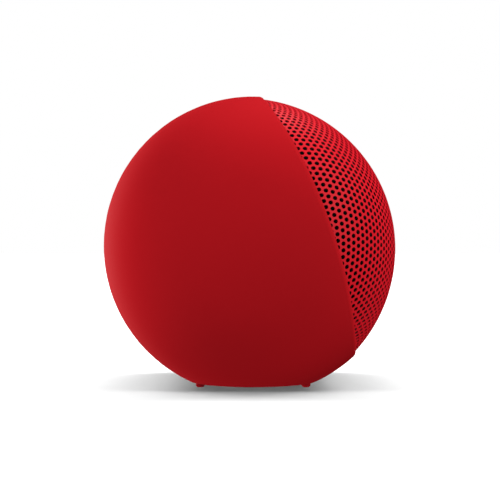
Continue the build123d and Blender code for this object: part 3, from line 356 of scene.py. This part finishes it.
def true_normals(node):
    """Shades the moulded form by its exact normals, so that its facets don't show."""
    mesh = node.data
    mesh.polygons.foreach_set("use_smooth", [True] * len(mesh.polygons))
    place = np.array(node.matrix_world)
    verts = np.empty(len(mesh.vertices) * 3)
    mesh.vertices.foreach_get("co", verts)
    verts = (verts.reshape(-1, 3) @ place[:3, :3].T + place[:3, 3]) / MM
    x, y, z = verts[:, 0], verts[:, 1] - AXIS_Y, verts[:, 2] - AXIS_Z
    r = np.hypot(y, z)
    crown_x, step = LENGTH / 2 - END_CROWN_R, END_CROWN_R - END_CORNER_R
    corner_y = SHELL_R - END_CORNER_R
    lean = np.arcsin(corner_y / step)
    corner_x = crown_x + step * cos(lean)
    ax = np.abs(x)
    on_crown = np.arctan2(r, ax - crown_x) < lean
    along = np.where(ax <= corner_x, 0.0, np.where(on_crown, ax - crown_x, ax - corner_x))
    out = np.where(ax <= corner_x, r, np.where(on_crown, r, r - corner_y))
    size = np.hypot(along, out)
    radius = np.where(ax <= corner_x, SHELL_R, np.where(on_crown, END_CROWN_R, END_CORNER_R))
    exact = np.abs(size - radius) < ON_FORM
    safe = np.maximum(r, TINY)
    direction = np.stack([np.sign(x) * along, out * y / safe, out * z / safe], -1)
    normal = direction / np.maximum(size, TINY)[:, None]
    loops = np.empty(len(mesh.loops), int)
    mesh.loops.foreach_get("vertex_index", loops)
    corner = np.array([c.vector for c in mesh.corner_normals])
    face = np.empty(len(mesh.polygons) * 3)
    mesh.polygons.foreach_get("normal", face)
    face = face.reshape(-1, 3)
    per = np.empty(len(mesh.polygons), int)
    mesh.polygons.foreach_get("loop_total", per)
    face = np.repeat(face, per, axis=0)
    use = exact[loops] & ((face * normal[loops]).sum(1) > SAME_WAY)
    corner[use] = normal[loops][use]
    mesh.normals_split_custom_set(corner.tolist())
    print("exact normals", node.name, int(use.sum()), "of", len(use))


true_normals(frame["nodes"]["outer_skin"])

# the speaker's red doesn't spill onto the floor
for item in [frame["nodes"][n] for n in ("outer_skin", "foot_rail_front", "foot_rail_rear")] + GRILLE:
    item.visible_diffuse = False

# ---- studio -------------------------------------------------------------------------------------------
REACH = 40.0                 # metres of floor each way
floor_mesh = bpy.data.meshes.new("floor")
corners = [(-REACH, -REACH, 0), (REACH, -REACH, 0), (REACH, REACH, 0), (-REACH, REACH, 0)]
floor_mesh.from_pydata(corners, [], [(0, 1, 2, 3)])
floor = bpy.data.objects.new("floor", floor_mesh)
bpy.context.scene.collection.objects.link(floor)
floor.data.materials.append(
    finish("floor_white", (0.90, 0.90, 0.90), 0.9, specular=0.0, grain=20, depth=0.0, vary=0.004))
floor.visible_diffuse = False
floor.visible_glossy = False
floor.visible_shadow = False

world = bpy.data.worlds.new("studio")
world.use_nodes = True
world.node_tree.nodes["Background"].inputs["Color"].default_value = (1, 1, 1, 1)
world.node_tree.nodes["Background"].inputs["Strength"].default_value = 1.0
bpy.context.scene.world = world
world.cycles_visibility.diffuse = False
world.cycles_visibility.glossy = False

# The floor has its own lights, so that it stays white with one soft shadow; the speaker has the others.
floor_only = bpy.data.collections.new("floor_only")
floor_only.objects.link(floor)
not_floor = bpy.data.collections.new("not_floor")
not_floor.objects.link(floor)
not_floor.collection_objects[0].light_linking.link_state = "EXCLUDE"


def broad_light(name, azimuth, elevation, spread_angle, energy, receivers):
    """A far, round softbox; azimuth 0 is behind the camera and 90 is at the picture's left."""
    light = bpy.data.lights.new(name, "SUN")
    light.energy, light.angle = energy, radians(spread_angle)
    lamp = bpy.data.objects.new(name, light)
    bpy.context.scene.collection.objects.link(lamp)
    a, e = radians(azimuth), radians(elevation)
    towards = Vector((-cos(a) * cos(e), sin(a) * cos(e), sin(e)))
    lamp.rotation_euler = towards.to_track_quat("Z", "Y").to_euler()
    lamp.light_linking.receiver_collection = receivers
    return lamp


SOFTBOX = 28                 # degrees across, for each light on the speaker
broad_light("top_rear", -160, 60, SOFTBOX, 1.20, not_floor)
broad_light("rim_left", 140, 0, SOFTBOX, 2.10, not_floor)
broad_light("front_right", -60, 0, SOFTBOX, 0.24, not_floor)
broad_light("bounce_front", 20, -45, SOFTBOX, 0.26, not_floor)
broad_light("right", -80, 40, SOFTBOX, 0.91, not_floor)
broad_light("left", 80, 40, SOFTBOX, 0.84, not_floor)
broad_light("bounce_left", 80, -45, SOFTBOX, 1.39, not_floor)
broad_light("key_left", 60, 40, SOFTBOX, 1.11, not_floor)
broad_light("fill_right", -60, 20, SOFTBOX, 1.58, not_floor)

# Most of the floor's light comes from behind the speaker, brighter than white, so that only what
# both sides miss is in shadow. The last one casts no shadow and lifts the darkest part.
broad_light("floor_rear_left", 160, 18, 24, 5.2, floor_only)
broad_light("floor_rear_right", -160, 18, 24, 5.2, floor_only)
broad_light("floor_far_left", 174, 19, 26, 2.3, floor_only)
broad_light("floor_far_right", -174, 19, 26, 2.3, floor_only)
broad_light("floor_top", 180, 75, 40, 0.95, floor_only)
broad_light("floor_base", 0, 90, 20, 0.50, floor_only).data.use_shadow = False

# ---- camera ---------------------------------------------------------------------------------------------
FIELD = 500 * 0.243 * MM     # what the square picture spans at the near shoulder
DISTANCE = 1.2               # camera to that shoulder
NEAR_X = -0.080
EYE_Y, EYE_Z = -0.000115, 0.03351
FILM = 36.0                  # width of the sensor in millimetres
camera_data = bpy.data.cameras.new("camera")
camera = bpy.data.objects.new("camera", camera_data)
bpy.context.scene.collection.objects.link(camera)
camera.location = (NEAR_X - DISTANCE, EYE_Y, EYE_Z)
camera.rotation_euler = (radians(90), 0, radians(-90))
camera_data.sensor_width = FILM
camera_data.lens = FILM * DISTANCE / FIELD
camera_data.clip_start, camera_data.clip_end = 0.05, 200.0
bpy.context.scene.camera = camera
bpy.context.scene.view_settings.view_transform = "Standard"
